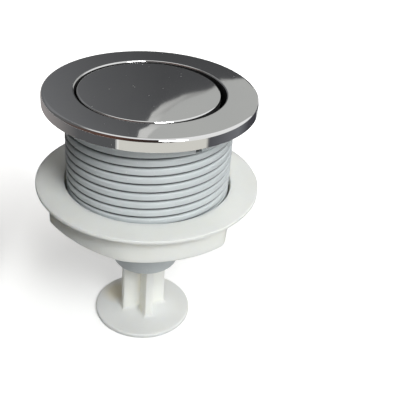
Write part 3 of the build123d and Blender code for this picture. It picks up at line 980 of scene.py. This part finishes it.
metal_only("floor_ring", floor_ring, lambda place: between(floor_tones, side_of(place)))


def either(tree, first, second):
    """The larger of two values."""
    larger = tree.nodes.new("ShaderNodeMath")
    larger.operation = "MAXIMUM"
    tree.links.new(first, larger.inputs[0])
    tree.links.new(second, larger.inputs[1])
    return larger.outputs[0]


def chosen_shader(tree, share, first, second):
    """Mixes two shaders."""
    mix = tree.nodes.new("ShaderNodeMixShader")
    tree.links.new(share, mix.inputs["Fac"])
    tree.links.new(first, mix.inputs[1])
    tree.links.new(second, mix.inputs[2])
    return mix.outputs[0]


white_floor, floor_tree = new_material("white floor")
floor_tree.nodes.clear()
floor_path = floor_tree.nodes.new("ShaderNodeLightPath").outputs
matte = floor_tree.nodes.new("ShaderNodeBsdfDiffuse")
matte.inputs["Color"].default_value = (0.54, 0.54, 0.54, 1)
shown = floor_tree.nodes.new("ShaderNodeBsdfDiffuse")
shown.inputs["Color"].default_value = (0.8, 0.8, 0.8, 1)
from_part = vector_math(floor_tree, "DISTANCE", object_place(floor_tree), (0, 0, floor_height))["Value"]
lift = floor_tree.nodes.new("ShaderNodeEmission")
floor_tree.links.new(remapped(floor_tree, from_part, 0.05, 0.17, 0.4, 0.92), lift.inputs["Strength"])
seen = floor_tree.nodes.new("ShaderNodeAddShader")
floor_tree.links.new(shown.outputs[0], seen.inputs[0])
floor_tree.links.new(lift.outputs[0], seen.inputs[1])
mirrored = floor_tree.nodes.new("ShaderNodeEmission")
mirrored.inputs["Strength"].default_value = 1.0
floor_metal = either(floor_tree, floor_path["Is Glossy Ray"], floor_path["Is Transmission Ray"])
by_metal = chosen_shader(floor_tree, floor_metal, matte.outputs[0], mirrored.outputs[0])
by_camera = chosen_shader(floor_tree, floor_path["Is Camera Ray"], by_metal, seen.outputs[0])
floor_end = floor_tree.nodes.new("ShaderNodeOutputMaterial")
floor_tree.links.new(by_camera, floor_end.inputs["Surface"])

floor_disc = bmesh.new()
bmesh.ops.create_circle(floor_disc, cap_ends=True, radius=floor_radius, segments=64,
                        matrix=Matrix.Translation((0, 0, floor_height)))
floor = object_from("floor", floor_disc, white_floor)

black_cloth, cloth_tree = new_material("black cloth")
cloth_shader = shader_of(cloth_tree)
cloth_shader.inputs["Base Color"].default_value = (0.01, 0.01, 0.01, 1)
cloth_shader.inputs["Specular IOR Level"].default_value = 0.0
flag_place = Matrix.Translation((-0.052, 0.018, 0.0)) @ Matrix.Rotation(pi / 2, 4, "Y")
flag_size = Matrix.Diagonal((0.13, 0.14, 1, 1))
side_flag = bmesh.new()
bmesh.ops.create_grid(side_flag, x_segments=1, y_segments=1, size=0.5, matrix=flag_place @ flag_size)
flag = object_from("side_flag", side_flag, black_cloth)
flag.visible_camera = False
flag.visible_glossy = False

world = bpy.data.worlds.new("pale surround")
bpy.context.scene.world = world
world.use_nodes = True
world_tree = world.node_tree
surround = world_tree.nodes["Background"]
surround.inputs["Color"].default_value = (1.0, 0.98, 0.93, 1)
surround.inputs["Strength"].default_value = 0.26
backdrop = world_tree.nodes.new("ShaderNodeBackground")
backdrop.inputs["Color"].default_value = (1, 1, 1, 1)
world_path = world_tree.nodes.new("ShaderNodeLightPath").outputs
shows_white = either(world_tree, world_path["Is Camera Ray"], world_path["Is Glossy Ray"])
shows_white = either(world_tree, shows_white, world_path["Is Transmission Ray"])
around = chosen_shader(world_tree, shows_white, surround.outputs[0], backdrop.outputs[0])
world_tree.links.new(around, world_tree.nodes["World Output"].inputs["Surface"])


def soft_lamp(name, place, aim, size, power, color):
    """A square soft lamp at a place, aimed at a point."""
    lamp = bpy.data.lights.new(name, "AREA")
    lamp.size = size
    lamp.energy = power
    lamp.color = color
    held = bpy.data.objects.new(name, lamp)
    held.location = place
    held.rotation_euler = (Vector(aim) - Vector(place)).to_track_quat("-Z", "Y").to_euler()
    bpy.context.scene.collection.objects.link(held)
    return held


lamp_aim = (0, 0, -0.04)
soft_lamp("window_light", place=(0.554, -1.042, 1.041), aim=lamp_aim, size=0.62, power=21.4,
          color=(0.985, 1.0, 0.99))
back_light = soft_lamp("back_light", place=(0.4, 1.2, 0.28), aim=lamp_aim, size=0.8, power=4.4,
                       color=(1.0, 0.99, 0.97))
back_light.visible_glossy = False
bpy.context.scene.view_settings.view_transform = "Standard"

# Camera
# The photograph's own view, from the front and about a third of the way up to overhead.
# Its place and its three directions are those that were fitted to the photograph.
camera_place = (0, -0.21774, 0.09968)
camera_right = (0.99658, -0.04520, 0.06917)
camera_up = (-0.03396, 0.53908, 0.84157)
camera_back = (-0.07533, -0.84104, 0.53570)
lens = bpy.data.cameras.new("camera")
lens.sensor_width = 36
lens.lens = 62.73
camera = bpy.data.objects.new("camera", lens)
camera_turn = Matrix((camera_right, camera_up, camera_back)).transposed().to_4x4()
camera.matrix_world = Matrix.Translation(camera_place) @ camera_turn
bpy.context.scene.collection.objects.link(camera)
bpy.context.scene.camera = camera
